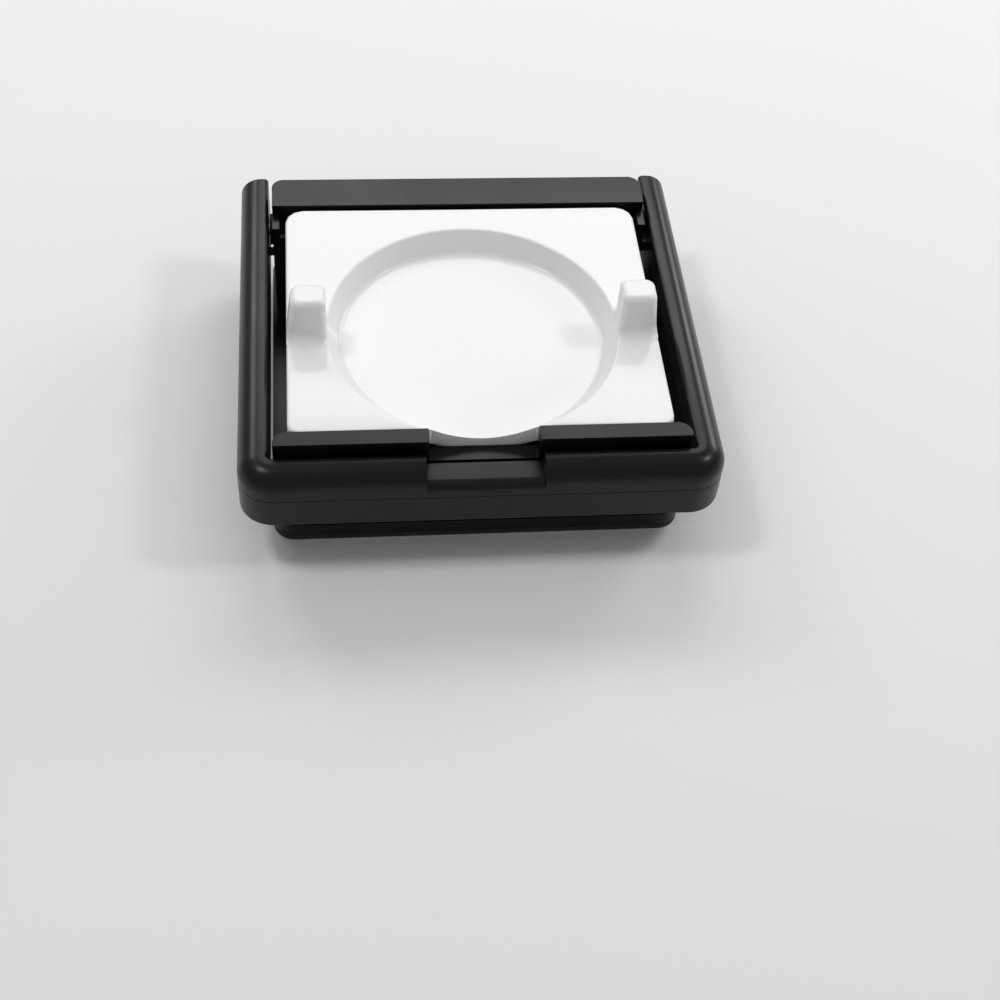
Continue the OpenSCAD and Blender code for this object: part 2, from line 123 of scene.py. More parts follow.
# %% Node group: handling marks
marks, m_in, m_out = new_group(
    "Handling marks",
    [("Vector", "NodeSocketVector", None), ("Size", "NodeSocketFloat", 40.0), ("Low", "NodeSocketFloat", 0.4),
     ("High", "NodeSocketFloat", 0.5)],
    [("Value", "NodeSocketFloat")],
)
cloud = marks.nodes.new("ShaderNodeTexNoise")
cloud.inputs["Detail"].default_value = 4.0
cloud.inputs["Distortion"].default_value = 0.6
spread = marks.nodes.new("ShaderNodeMapRange")
spread.inputs["From Min"].default_value = 0.3
spread.inputs["From Max"].default_value = 0.7
wire(marks, [
    (m_in.outputs["Vector"], cloud.inputs["Vector"]), (m_in.outputs["Size"], cloud.inputs["Scale"]),
    (cloud.outputs["Fac"], spread.inputs["Value"]), (m_in.outputs["Low"], spread.inputs["To Min"]),
    (m_in.outputs["High"], spread.inputs["To Max"]), (spread.outputs["Result"], m_out.inputs["Value"]),
])
print("group:", marks.name)

# %% [markdown]
# The object has six finishes: satin black plastic, black rubber, glossy white plastic, plated steel, ground steel and
# black nylon. Each is a Principled shader with its colour written on its own socket. The grain goes to a Bump node,
# and the handling marks go to the roughness, because that is what the eye notices on dark plastic.


# %% Materials
def finish(name, color, rough, grain_scale, grain_depth, marks_size=35.0, metallic=0.0, shine=0.5):
    """A moulded or metal finish: colour, a range of roughness, and a fine grain with its depth in metres."""
    made = bpy.data.materials.new(name)
    made.use_nodes = True
    tree = made.node_tree
    shader = tree.nodes["Principled BSDF"]
    shader.inputs["Specular IOR Level"].default_value = shine
    shader.inputs["Base Color"].default_value = (*color, 1.0)
    shader.inputs["Metallic"].default_value = metallic
    place = tree.nodes.new("ShaderNodeTexCoord")
    grains = tree.nodes.new("ShaderNodeGroup")
    grains.node_tree = grain
    grains.inputs["Scale"].default_value = grain_scale
    clouds = tree.nodes.new("ShaderNodeGroup")
    clouds.node_tree = marks
    clouds.inputs["Size"].default_value = marks_size
    clouds.inputs["Low"].default_value, clouds.inputs["High"].default_value = rough
    bump = tree.nodes.new("ShaderNodeBump")
    bump.inputs["Strength"].default_value = 1.0
    bump.inputs["Distance"].default_value = grain_depth
    wire(tree, [
        (place.outputs["Object"], grains.inputs["Vector"]), (place.outputs["Object"], clouds.inputs["Vector"]),
        (clouds.outputs["Value"], shader.inputs["Roughness"]), (grains.outputs["Height"], bump.inputs["Height"]),
        (bump.outputs["Normal"], shader.inputs["Normal"]),
    ])
    return made


black_plastic = finish("Black satin plastic", (0.003, 0.003, 0.0034), (0.28, 0.34), 1500.0, 0.000008,
                       shine=0.31)
black_rubber = finish("Black rubber", (0.012, 0.012, 0.012), (0.68, 0.80), 900.0, 0.00006)
white_gloss = finish("White gloss plastic", (0.90, 0.90, 0.895), (0.07, 0.10), 120.0, 0.000003,
                     marks_size=25.0, shine=0.25)
screw_steel = finish("Zinc plated steel", (0.52, 0.53, 0.55), (0.26, 0.36), 2500.0, 0.00001,
                     marks_size=300.0, metallic=1.0)
pin_steel = finish("Ground steel", (0.60, 0.61, 0.62), (0.18, 0.26), 3000.0, 0.000006,
                   marks_size=500.0, metallic=1.0)
nylon = finish("Black nylon", (0.008, 0.008, 0.0085), (0.42, 0.52), 1200.0, 0.00001, shine=0.3)
print("finishes:", ", ".join(m.name for m in bpy.data.materials))

# %% [markdown]
# ## Helpers for rounding and shading
#
# No moulded edge is sharp, and a sharp one looks wrong at once, because it catches no light. A Bevel modifier rounds
# the edges of a solid that is already right. Before it, doubled points are merged and coplanar triangles joined, so
# that only real edges are rounded. After it, weighted normals keep the large flat faces flat.

# %% Helpers: clean a mesh, and bake its modifiers
def tidy_mesh(obj, merge=0.002, flat=0.0):
    """Merges points closer than merge in mm, joins faces within flat degrees, and turns the normals out."""
    work = bmesh.new()
    work.from_mesh(obj.data)
    bmesh.ops.remove_doubles(work, verts=work.verts, dist=merge * MM)
    bmesh.ops.dissolve_degenerate(work, edges=work.edges, dist=merge * MM / 2)
    if flat:
        bmesh.ops.dissolve_limit(work, angle_limit=math.radians(flat), verts=work.verts, edges=work.edges)
    bmesh.ops.recalc_face_normals(work, faces=work.faces)
    work.to_mesh(obj.data)
    work.free()


def bake(obj):
    """Turns the object and its modifiers into one plain mesh."""
    bpy.context.view_layer.update()
    mesh = bpy.data.meshes.new_from_object(obj.evaluated_get(bpy.context.evaluated_depsgraph_get()))
    obj.modifiers.clear()
    old, obj.data = obj.data, mesh
    bpy.data.meshes.remove(old)


print("helpers: tidy_mesh, bake")

# %% Helpers: shade smooth, and round edges
flat_weight = 80


def shade(obj, angle=35.0):
    """Smooth shading, with the large flat faces kept flat."""
    for face in obj.data.polygons:
        face.use_smooth = True
    work = bmesh.new()
    work.from_mesh(obj.data)
    for edge in work.edges:
        edge.smooth = len(edge.link_faces) != 2 or edge.calc_face_angle(0.0) < math.radians(angle)
    work.to_mesh(obj.data)
    work.free()
    step = obj.modifiers.new("weights", "WEIGHTED_NORMAL")
    step.keep_sharp, step.weight = True, flat_weight
    bake(obj)


def soften(obj, width, angle, segments=3):
    """Rounds every edge sharper than the angle, and shades the rest smooth."""
    step = obj.modifiers.new("edges", "BEVEL")
    step.width, step.segments, step.limit_method = width * MM, segments, "ANGLE"
    step.angle_limit = math.radians(angle)
    step.miter_outer = "MITER_ARC"
    bake(obj)
    shade(obj)


print("helpers: shade, soften")

# %% [markdown]
# ## Base frame, bottom plate and sole
#
# The frame is one moulding with crisp but not sharp edges. It could be modelled again from boxes, but the CAD solid
# already has every wall, boss and notch in its place. A copy of it, merged into clean flat faces, only needs its edges
# rounded with a Bevel modifier, about as much as a mould rounds them.

# %% Copy a CAD piece, and dress one
def cad_copy(node, name):
    """A copy of a CAD node's mesh with its loose triangles merged and its flat faces joined."""
    source = nodes[node]
    made = bpy.data.objects.new(name, source.data.copy())
    for key in [k for k in made.keys() if k.startswith("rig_")]:
        del made[key]
    bpy.context.scene.collection.objects.link(made)
    if made.data.has_custom_normals:
        made.data.attributes.remove(made.data.attributes["custom_normal"])
    tidy_mesh(made, merge=0.004, flat=0.4)
    return made


def dress(obj, material, body, replaced):
    """Gives a piece its finish and its body, and hides the CAD node that it stands for."""
    obj.data.materials.clear()
    obj.data.materials.append(material)
    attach(obj, body)
    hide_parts(replaced)
    print(obj.name, "faces:", len(obj.data.polygons), "on", body)


print("helpers: cad_copy, dress")

# %% Base frame, bottom plate and sole
base_edge_angle = 35
for node, name, material, slot, edge in (
    ("base_frame", "frame_moulding", black_plastic, "black_plastic", 0.45),
    ("base_plate", "bottom_plate", black_plastic, "black_plastic", 0.5),
    ("non_slip_sole", "rubber_sole", black_rubber, "black_rubber", 0.35),
):
    piece = cad_copy(node, name)
    soften(piece, edge, base_edge_angle)
    dress(piece, material, "base", node)

# %% [markdown]
# ## Lid stand
#
# The stand is a bar of one section that runs round the base like a U, split level into two shells. It could be cut
# from a block, but a shape that follows a path is what Geometry Nodes do best: a polyline is turned into a curve, its
# corners are filleted, and the section is swept along it. The corner radius is an input of the tree, and the same
# tree makes both shells.


# %% Geometry Nodes tree: sweep a section round the path
def sweep_tree():
    """A tree that fillets a path and sweeps a section object along it."""
    tree = bpy.data.node_groups.new("Bar round a path", "GeometryNodeTree")
    tree.interface.new_socket("Path", in_out="INPUT", socket_type="NodeSocketGeometry")
    tree.interface.new_socket("Section", in_out="INPUT", socket_type="NodeSocketObject")
    tree.interface.new_socket("Corner radius", in_out="INPUT", socket_type="NodeSocketFloat")
    tree.interface.new_socket("Corner steps", in_out="INPUT", socket_type="NodeSocketInt")
    tree.interface.new_socket("Material", in_out="INPUT", socket_type="NodeSocketMaterial")
    tree.interface.new_socket("Bar", in_out="OUTPUT", socket_type="NodeSocketGeometry")
    start, end = tree.nodes.new("NodeGroupInput"), tree.nodes.new("NodeGroupOutput")
    path = tree.nodes.new("GeometryNodeMeshToCurve")
    fillet = tree.nodes.new("GeometryNodeFilletCurve")
    fillet.mode = "POLY"
    upright = tree.nodes.new("GeometryNodeSetCurveNormal")
    upright.mode = "Z_UP"
    section = tree.nodes.new("GeometryNodeObjectInfo")
    outline = tree.nodes.new("GeometryNodeMeshToCurve")
    sweep = tree.nodes.new("GeometryNodeCurveToMesh")
    sweep.inputs["Fill Caps"].default_value = True
    real = tree.nodes.new("GeometryNodeRealizeInstances")
    paint = tree.nodes.new("GeometryNodeSetMaterial")
    wire(tree, [
        (start.outputs["Path"], path.inputs["Mesh"]), (path.outputs["Curve"], fillet.inputs["Curve"]),
        (start.outputs["Corner radius"], fillet.inputs["Radius"]),
        (start.outputs["Corner steps"], fillet.inputs["Count"]),
        (fillet.outputs["Curve"], upright.inputs["Curve"]), (upright.outputs["Curve"], sweep.inputs["Curve"]),
        (start.outputs["Section"], section.inputs["Object"]), (section.outputs["Geometry"], outline.inputs["Mesh"]),
        (outline.outputs["Curve"], sweep.inputs["Profile Curve"]), (sweep.outputs["Mesh"], real.inputs["Geometry"]),
        (real.outputs["Geometry"], paint.inputs["Geometry"]), (start.outputs["Material"], paint.inputs["Material"]),
        (paint.outputs["Geometry"], end.inputs["Bar"]),
    ])
    return tree


bar_tree = sweep_tree()
print("tree:", bar_tree.name, "nodes:", len(bar_tree.nodes))

# %% [markdown]
# The section of each shell is what a saw cut through an arm would show. The upper one has a large round crown outside
# and a small lip inside, and the lower one has small edges at its foot. Where the two shells meet, both lose a
# hair's breadth. That leaves a real seam, which shades by itself, where a drawn line would look painted.

# %% Sizes of the stand
lower_low, lower_high = box_mm("stand_lower_shell")
stand_high = box_mm("stand_upper_shell")[1]
arm_t, stand_h = 9.0, 19.8
crown_r, lip_r, foot_edge_r, inner_corner_r = 6.6, 1.4, 0.6, 1.0
stand_front, stand_rear, stand_base_z = lower_low[1], stand_high[1], lower_low[2]
arm_in_x = stand_high[0] - arm_t
cross_y = stand_front + arm_t
side_z = stand_base_z + stand_h
seam_z = lower_high[2]
print("inner faces at x", round(arm_in_x, 2), "and y", round(cross_y, 2), "top", round(side_z, 2))


# %% Section of the bar, from the inner face outwards
def arc(cy, cz, r, start, end, steps):
    """Points on an arc, angles in degrees."""
    return [(cy + r * math.cos(math.radians(start + (end - start) * i / steps)),
             cz + r * math.sin(math.radians(start + (end - start) * i / steps))) for i in range(steps + 1)]


# The path runs along the bar's inner lower edge, so x in the section is the distance outwards
seam_edge = 0.14
upper_section = (
    [(seam_edge, 0.0), (arm_t - seam_edge, 0.0)] + [(arm_t, seam_edge)]
    + arc(arm_t - crown_r, side_z - seam_z - crown_r, crown_r, 0, 90, 12)
    + arc(lip_r, side_z - seam_z - lip_r, lip_r, 90, 180, 6) + [(0.0, seam_edge)]
)
lower_section = (
    arc(arm_t - foot_edge_r, foot_edge_r, foot_edge_r, -90, 0, 4)
    + [(arm_t, seam_z - stand_base_z - seam_edge), (arm_t - seam_edge, seam_z - stand_base_z)]
    + [(seam_edge, seam_z - stand_base_z), (0.0, seam_z - stand_base_z - seam_edge)]
    + arc(seam_edge, seam_edge, seam_edge, 180, 270, 2)
)
print("section points:", len(upper_section), len(lower_section))

# %% [markdown]
# A path of three straight pieces, given as the edges of a mesh, carries the section round the base. Each shell is one
# object with the same tree and its own section. Once it is swept it is baked, because booleans follow.


# %% Helpers: a wire, and inputs for a tree
def loop_object(name, points, closed):
    """A wire object of edges through points in millimetres."""
    mesh = bpy.data.meshes.new(name)
    n = len(points)
    edges = [(i, (i + 1) % n) for i in range(n if closed else n - 1)]
    mesh.from_pydata([[v * MM for v in p] for p in points], edges, [])
    made = bpy.data.objects.new(name, mesh)
    bpy.context.scene.collection.objects.link(made)
    return made


def set_inputs(obj, tree, **values):
    """Adds the tree to the object as a modifier and sets its inputs by identifier."""
    step = obj.modifiers.new(tree.name, "NODES")
    step.node_group = tree
    for item in tree.interface.items_tree:
        key = item.name.replace(" ", "_").lower()
        if item.item_type == "SOCKET" and item.in_out == "INPUT" and key in values:
            step[item.identifier] = values[key]


print("helpers: loop_object, set_inputs")


# %% Sweep both shells
def sweep_shell(name, outline, z):
    """The bar with this outline, swept round the base at height z."""
    corners = [(-arm_in_x, stand_rear, z), (-arm_in_x, cross_y, z), (arm_in_x, cross_y, z),
               (arm_in_x, stand_rear, z)]
    made = loop_object(name, corners, closed=False)
    section = loop_object(name + "_section", [(x, -y, 0.0) for x, y in outline], closed=True)
    set_inputs(made, bar_tree, section=section, corner_radius=inner_corner_r * MM, corner_steps=10,
               material=black_plastic)
    bake(made)
    bpy.data.objects.remove(section)
    tidy_mesh(made)
    return made


upper_shell = sweep_shell("stand_upper", upper_section, seam_z)
lower_shell = sweep_shell("stand_lower", lower_section, stand_base_z)
for shell in (upper_shell, lower_shell):
    xs = [v.co.x / MM for v in shell.data.vertices]
    zs = [v.co.z / MM for v in shell.data.vertices]
    print(shell.name, "x", round(min(xs), 2), round(max(xs), 2), "z", round(min(zs), 2), round(max(zs), 2))

# %% [markdown]
# The sweep gives a bare bar. The hinge cheeks belong to the upper shell and reach down past the seam, so a disc is
# joined to the upper shell and taken out of the lower one. Blender's exact boolean does both cleanly, as long as a
# tool reaches a little past the solid it cuts.


# %% Helpers: solids from rings, and booleans
def new_object(name, points, faces):
    """A mesh object from points in millimetres, with its normals pointing out."""
    mesh = bpy.data.meshes.new(name)
    mesh.from_pydata([[v * MM for v in p] for p in points], [], faces)
    made = bpy.data.objects.new(name, mesh)
    bpy.context.scene.collection.objects.link(made)
    tidy_mesh(made)
    return made


def cut(obj, tool, operation="DIFFERENCE"):
    """Cuts with, or joins to, another object, and removes it."""
    step = obj.modifiers.new("cut", "BOOLEAN")
    step.operation, step.object, step.solver = operation, tool, "EXACT"
    bake(obj)
    bpy.data.objects.remove(tool)


def ring_solid(name, rings):
    """A closed solid from rings of points: each is joined to the next, and the first and the last are filled."""
    size = len(rings[0])
    last = size * (len(rings) - 1)
    faces = [(k + i, k + (i + 1) % size, k + size + (i + 1) % size, k + size + i)
             for k in range(0, last, size) for i in range(size)]
    faces += [tuple(range(size)), tuple(range(last, last + size))]
    return new_object(name, [point for ring in rings for point in ring], faces)


def prism(name, outline, x0, x1):
    """A prism along x from an outline in (y, z)."""
    return ring_solid(name, [[(x, y, z) for y, z in outline] for x in (x0, x1)])


def circle(cx, cy, r, steps):
    """Points round a circle."""
    turns = [2 * math.pi * i / steps for i in range(steps)]
    return [(cx + r * math.cos(a), cy + r * math.sin(a)) for a in turns]


print("helpers: new_object, cut, ring_solid, prism, circle")

# %% Hinge cheeks
hinge_inset, hinge_drop = 16.0, 7.6
hinge_y, hinge_z = stand_rear - hinge_inset, side_z - hinge_drop
cheek_r, cheek_t, cheek_clear = 10.2, 3.6, 0.2
overrun, slab_half = 1.0, 30.0


def cylinder(name, radius, low, high, side, steps=96):
    """A cylinder along x on the hinge axis, from one distance off the middle plane to another."""
    return prism(name, circle(hinge_y, hinge_z, radius, steps), side * low, side * high)


for side in (-1, 1):
    cut(lower_shell, cylinder("cheek_room", cheek_r + cheek_clear, arm_in_x - overrun,
                              arm_in_x + cheek_t + cheek_clear, side))
    cheek = cylinder("cheek", cheek_r, arm_in_x, arm_in_x + cheek_t, side)
    slab_front, slab_rear, slab_top = hinge_y - slab_half, hinge_y + slab_half, seam_z + 2 * overrun
    slab = prism("slab", [(slab_front, stand_base_z), (slab_rear, stand_base_z), (slab_rear, slab_top),
                          (slab_front, slab_top)],
                 side * (arm_in_x - 2 * overrun), side * (arm_in_x + cheek_t + 2 * overrun))
    cut(cheek, slab, "INTERSECT")
    cut(upper_shell, cheek, "UNION")
print("cheeks of radius", cheek_r, "round the hinge axis at y", round(hinge_y, 2), "z", round(hinge_z, 2))

# %% [markdown]
# The crossbar has a notch in front of the base's own, so that the two make one channel. The same prism cuts it from
# both shells. Its outline rounds the notch's floor down to the front face, which saves a second step and follows the
# soft front of the real moulding.

# %% Notch in the crossbar
stand_notch_w, stand_notch_depth, stand_notch_r = 34.0, 4.6, 3.0
floor_z = side_z - stand_notch_depth
past, open_z = 5.0, side_z + 10.0
notch_outline = (
    [(cross_y + past, open_z), (cross_y + past, floor_z)]
    + arc(stand_front + stand_notch_r, floor_z - stand_notch_r, stand_notch_r, 90, 180, 8)
    + [(stand_front - past, floor_z - stand_notch_r), (stand_front - past, open_z)]
)
for shell in (upper_shell, lower_shell):
    cut(shell, prism("notch", notch_outline, -stand_notch_w / 2, stand_notch_w / 2))
print("notch floor at", round(floor_z, 2))

# %% [markdown]
# Each arm turns on a hinge pin, and a stop peg of the base runs in a groove of the arm. Both are hidden while the
# stand is down, but they show in the gap once it is raised, so they are cut here as well. The groove is the arc that
# the peg sweeps, a little wider than the peg.

# %% Pin holes and stop grooves
pin_r, pin_clear, pin_out, pin_steps = 2.0, 0.05, 5.0, 48
groove_depth, groove_clear, peg_ring_r, peg_r, open_angle = 2.2, 0.2, 7.2, 1.4, 105.0
peg_angle = -90 - open_angle / 2


def stop_groove(side):
    """The arc that the stop peg sweeps, as a closed bent bar."""
    room = peg_r + groove_clear
    start, end, steps = peg_angle, peg_angle + open_angle, 24

    def round_end(angle, turn):
        """Half a circle round one end of the groove."""
        cy, cz = peg_ring_r * math.cos(math.radians(angle)), peg_ring_r * math.sin(math.radians(angle))
        return arc(cy, cz, room, angle + turn, angle + turn + 180, 8)

    outline = arc(0, 0, peg_ring_r + room, start, end, steps)[1:-1] + round_end(end, 0)
    outline += arc(0, 0, peg_ring_r - room, end, start, steps)[1:-1] + round_end(start, 180)
    return prism("groove", [(hinge_y + y, hinge_z + z) for y, z in outline], side * (arm_in_x - overrun),
                 side * (arm_in_x + groove_depth))


for side in (-1, 1):
    cut(upper_shell, cylinder("pin_hole", pin_r + pin_clear, arm_in_x - overrun, arm_in_x + pin_out, side, pin_steps))
    cut(upper_shell, stop_groove(side))

# %% [markdown]
# Six small screws hold the two shells together from below. Their heads lie in round recesses, which show when the
# stand is up. The places follow the CAD: two in each arm and two in the crossbar.

# %% Recesses for the heads of the stand's screws
screw_low, screw_high = box_mm("stand_screws")
cross_screw_x, arm_screw_front, arm_screw_rear = 38.0, 28.0, 48.0
arm_mid_x, cross_mid_y = arm_in_x + arm_t / 2, cross_y - arm_t / 2
stand_screw_spots = [(side * arm_mid_x, y) for side in (-1, 1)
                     for y in (stand_front + arm_screw_front, stand_rear - arm_screw_rear)]
stand_screw_spots += [(side * cross_screw_x, cross_mid_y) for side in (-1, 1)]
recess_r, recess_depth, recess_steps = 2.0, 5.0, 32
for spot in stand_screw_spots:
    outline = circle(*spot, recess_r, recess_steps)
    cut(lower_shell, ring_solid("recess", [[(x, y, z) for x, y in outline]
                                           for z in (stand_base_z - overrun, stand_base_z + recess_depth)]))
print("screw recesses:", len(stand_screw_spots))

# %% [markdown]
# The booleans leave bare edges. Both shells are rounded at the end, all edges in one go, so that every notch, hole and
# cheek gets the same small radius. The limiting angle is wide enough to leave the facets of the crown alone.

# %% Round the edges of the stand
stand_edge, stand_edge_angle = 0.3, 38
for shell, node in ((upper_shell, "stand_upper_shell"), (lower_shell, "stand_lower_shell")):
    tidy_mesh(shell, merge=0.004, flat=0.3)
    soften(shell, stand_edge, stand_edge_angle)
    dress(shell, black_plastic, "lid_stand", node)

# %% [markdown]
# ## Drip tray
#
# The tray is a glossy white moulding, so every highlight shows how its corners are rounded. A boolean would leave
# hard rims. Here the tray is laid out like a fan instead: 192 spokes start in the middle of the well, and each runs
# over the floor, up the sloping wall, across the top, round the edge, down the skirt and back underneath.

# %% Sizes of the tray
tray_low, tray_high = box_mm("drip_tray")
tray_drop, tray_wall, skirt_h, plate_flange = 0.8, 2.2, 6.2, 1.2
well_r, well_floor_r, well_depth, well_setback = 44.0, 40.0, 6.3, 46.7
tray_z = box_mm("base_frame")[1][2] - tray_drop
tray_seat_z = tray_z - skirt_h
well_floor_z = tray_z - well_depth
well_y = box_mm("base_plate")[0][1] + plate_flange + well_setback
print("tray top", round(tray_z, 2), "well floor", round(well_floor_z, 2), "well's middle at y", round(well_y, 2))

# %% Outline of the tray, seen from above
tray_w2 = tray_high[0]
tray_front, tray_rear = tray_low[1], tray_high[1]
tray_front_r, tray_corner_r, endless = 3.0, 5.5, 1e9


def reach(angle, inset=0.0):
    """How far a spoke from the well's middle runs to the tray's outline, inset by a wall."""
    dx, dy = math.cos(angle), math.sin(angle)
    half, front, rear = tray_w2 - inset, tray_front + inset, tray_rear - inset
    far = min(half / abs(dx) if dx else endless, (rear - well_y) / dy if dy > 0 else endless,
              (front - well_y) / dy if dy < 0 else endless)
    r = (tray_corner_r if dy > 0 else tray_front_r) - inset
    cx, cy = half - r, (rear - r if dy > 0 else front + r) - well_y
    x, y = abs(far * dx), far * dy
    if r > 0 and x > cx and (y > cy if dy > 0 else y < cy):
        across = cx * abs(dx) + cy * dy
        far = across + math.sqrt(max(across ** 2 - cx ** 2 - cy ** 2 + r ** 2, 0.0))
    return far


mouth = math.acos((well_y - tray_front) / well_r)
print("tray", round(2 * tray_w2, 1), "by", round(tray_rear - tray_front, 1))
print("mouth half angle", round(math.degrees(mouth), 1))

# %% [markdown]
# A spoke is a list of corners, each a distance from the middle and a height, and every corner gets a small arc. All
# spokes have the same number of points, whatever they cross. So neighbours can be joined by plain quads, also at the
# mouth, where the well runs out through the front edge.


# %% Helper: round the corners of a line
def rounded(corners, radii, steps):
    """The polyline through the corners, with an arc of the given radius in each inner corner."""
    # An arc takes less than half of each side, so that it never meets its neighbour
    tiny, most = 1e-6, 0.48
    line = [corners[0]]
    for i in range(1, len(corners) - 1):
        here = Vector(corners[i])
        a, b = Vector(corners[i - 1]) - here, Vector(corners[i + 1]) - here
        if min(a.length, b.length) < tiny:
            line += [corners[i]] * (steps + 1)
            continue
        angle = a.angle(b)
        flat = math.tan(angle / 2)
        cut_off = min(radii[i] / max(flat, tiny), most * a.length, most * b.length)
        p, q = here + a.normalized() * cut_off, here + b.normalized() * cut_off
        # A quadratic curve through the cut corner is close to the arc and never overshoots
        for k in range(steps + 1):
            t = k / steps
            point = p * (1 - t) ** 2 + here * 2 * t * (1 - t) + q * t ** 2
            line.append((point.x, point.y))
    line.append(corners[-1])
    return line


bend_test = rounded([(0, 0), (2, 0), (2, 2)], [0, 1, 0], 3)
print("a rounded right angle:", [tuple(round(v, 2) for v in point) for point in bend_test])

# %% One spoke of the tray
rim_r, floor_round_r, edge_r, foot_r, under_r = 1.1, 2.4, 1.2, 0.3, 0.8
middle_r, spoke_steps = 0.5, 5
slope = (well_r - well_floor_r) / well_depth
bowl_floor_z = well_floor_z - tray_wall


def outer_bowl(z):
    """Radius of the bowl's outer side at a height."""
    return well_floor_r + tray_wall + (z - bowl_floor_z) * (well_r - well_floor_r) / (well_depth + tray_wall)


def spoke(angle):
    """Corners and radii of the tray's profile along one spoke, as (distance, height)."""
    out, inner = reach(angle), reach(angle, tray_wall)
    under_z = tray_z - tray_wall
    rim = min(well_r, out)
    rim_z = well_floor_z + (rim - well_floor_r) / slope
    seat_bowl = min(outer_bowl(tray_seat_z), out)
    if inner > outer_bowl(under_z):
        pocket = [(inner, tray_seat_z), (inner, under_z), (outer_bowl(under_z), under_z)]
    elif inner > seat_bowl:
        meet = bowl_floor_z + (inner - well_floor_r - tray_wall) * (well_depth + tray_wall) / (well_r - well_floor_r)
        pocket = [(inner, tray_seat_z), (inner, meet), (inner, meet)]
    else:
        pocket = [(seat_bowl, tray_seat_z)] * 3
    edge_z = max(rim_z, tray_z if out > well_r else 0)
    corners = [(middle_r, well_floor_z), (well_floor_r, well_floor_z), (rim, rim_z), (out, edge_z), (out, tray_seat_z)]
    corners += pocket + [(seat_bowl, tray_seat_z), (min(well_floor_r + tray_wall, out), bowl_floor_z)]
    corners.append((middle_r, bowl_floor_z))
    radii = [0, floor_round_r, rim_r, edge_r] + 2 * [foot_r] + 4 * [under_r] + [0]
    return rounded(corners, radii, spoke_steps)


print("a spoke to the rear has", len(spoke(math.pi / 2)), "points")

# %% [markdown]
# The profile changes fast at the two corners of the mouth, so five more spokes stand close to each. The mesh is one
# sheet that closes on itself, and only the two small rings in the middle are filled.

# %% Fan of spokes
front_angle = -math.pi / 2
spokes = 192
near_mouth = (-0.03, -0.012, 0.0, 0.012, 0.03)
turns = {2 * math.pi * i / spokes for i in range(spokes)}
turns |= {side * (mouth + d) % (2 * math.pi) for side in (-1, 1) for d in near_mouth}
angles = [front_angle + t for t in sorted(turns)]
lines = [spoke(a) for a in angles]
length = len(lines[0])
points = [(r * math.cos(a), well_y + r * math.sin(a), z) for a, line in zip(angles, lines) for r, z in line]
count = len(angles)
faces = [(j * length + i, j * length + i + 1, (j + 1) % count * length + i + 1, (j + 1) % count * length + i)
         for j in range(count) for i in range(length - 1)]
faces += [tuple(j * length for j in range(count)), tuple(j * length + length - 1 for j in range(count))]
tray = new_object("drip_tray_moulding", points, faces)
print("spokes:", count, "points along each:", length, "faces:", len(tray.data.polygons))

# %% [markdown]
# The two lugs stand on the tray at either side of the well. Each is a stack of level rings. The inner side of every
# ring follows the well's wall, and the outer side leans in a little. Near the bottom the rings flare out over the
# tray, which gives the soft fillet of the real moulding, and near the top they draw in round its edge. The first
# ring lies below the tray's top, so that the boolean joins the two cleanly.


# %% Lugs
lug_h = tray_high[2] - tray_z
lug_lean, lug_d, lug_forward = 1.7, 9.4, 4.6
lug_mid_y, lug_half = well_y - lug_forward + lug_d / 2, lug_d / 2
lug_top_r, lug_corner_r, lug_inner_r, lug_flare = 1.8, 2.6, 2.0, 3.4
# A hair keeps the faces of lug and tray out of one plane, which a boolean can't sort out
lug_root, hair, least_r, wall_steps = 1.6, 0.03, 0.25, 12
# Where a ring shrinks near the top, its corners tighten by these shares
corner_loss, bend_loss = 0.85, 0.7


def lug_ring(side, h, grow, shrink):
    """One level ring of a lug at height h above the tray, grown in front and behind, or shrunk all round."""
    half = lug_half + grow - shrink
    outer = tray_w2 - hair - lug_lean * max(h, 0) / lug_h - shrink
    r = max(min(lug_corner_r, half) - shrink * corner_loss, least_r)
    bend = max(lug_inner_r - shrink * bend_loss, least_r)
    inner_r = well_r + shrink
    ring = []
    for end in (-1, 1):
        y_end = lug_mid_y + end * half
        corner = arc(outer - r, y_end - end * r, r, 0, end * 90, 6)
        x_in = math.sqrt(inner_r ** 2 - (y_end - end * bend - well_y) ** 2)
        ring.append(corner + arc(x_in + bend, y_end - end * bend, bend, end * 90, end * 180, 6))
    low, high = ring
    wall = []
    for i in range(1, wall_steps):
        y = low[-1][1] + (high[-1][1] - low[-1][1]) * i / wall_steps
        wall.append((math.sqrt(inner_r ** 2 - (y - well_y) ** 2), y))
    # Round from the outer front corner, along the inner wall, to the outer rear corner
    loop = low + wall + high[::-1]
    return [(side * x, y, tray_z + h) for x, y in loop]


quarter = [math.radians(a) for a in range(0, 91, 10)]
levels = [(-lug_root, lug_flare, 0.0)]
levels += [(hair + lug_flare * (1 - math.cos(a)), lug_flare * (1 - math.sin(a)), 0.0) for a in quarter]
levels += [(lug_h - lug_top_r + lug_top_r * math.sin(a), 0.0, lug_top_r * (1 - math.cos(a))) for a in quarter]
for side in (-1, 1):
    cut(tray, ring_solid("lug", [lug_ring(side, *level) for level in levels]), "UNION")
print("tray with lugs:", len(tray.data.polygons), "faces")

# %% [markdown]
# A gloss finish shows every flaw of the shading. The boolean's doubled points are merged, and the normals are weighted
# by area, so that the flat top stays free of grey smears beside the rounded edges.

# %% Shade and dress the tray
tidy_mesh(tray)
shade(tray, angle=40)
dress(tray, white_gloss, "drip_tray", "drip_tray")

# %% [markdown]
# ## Screws
#
# Ten screws hold the parts together from below. A small thing that repeats is a job for Geometry Nodes: one mesh
# holds a point for each screw, and the tree puts the same screw on every point.


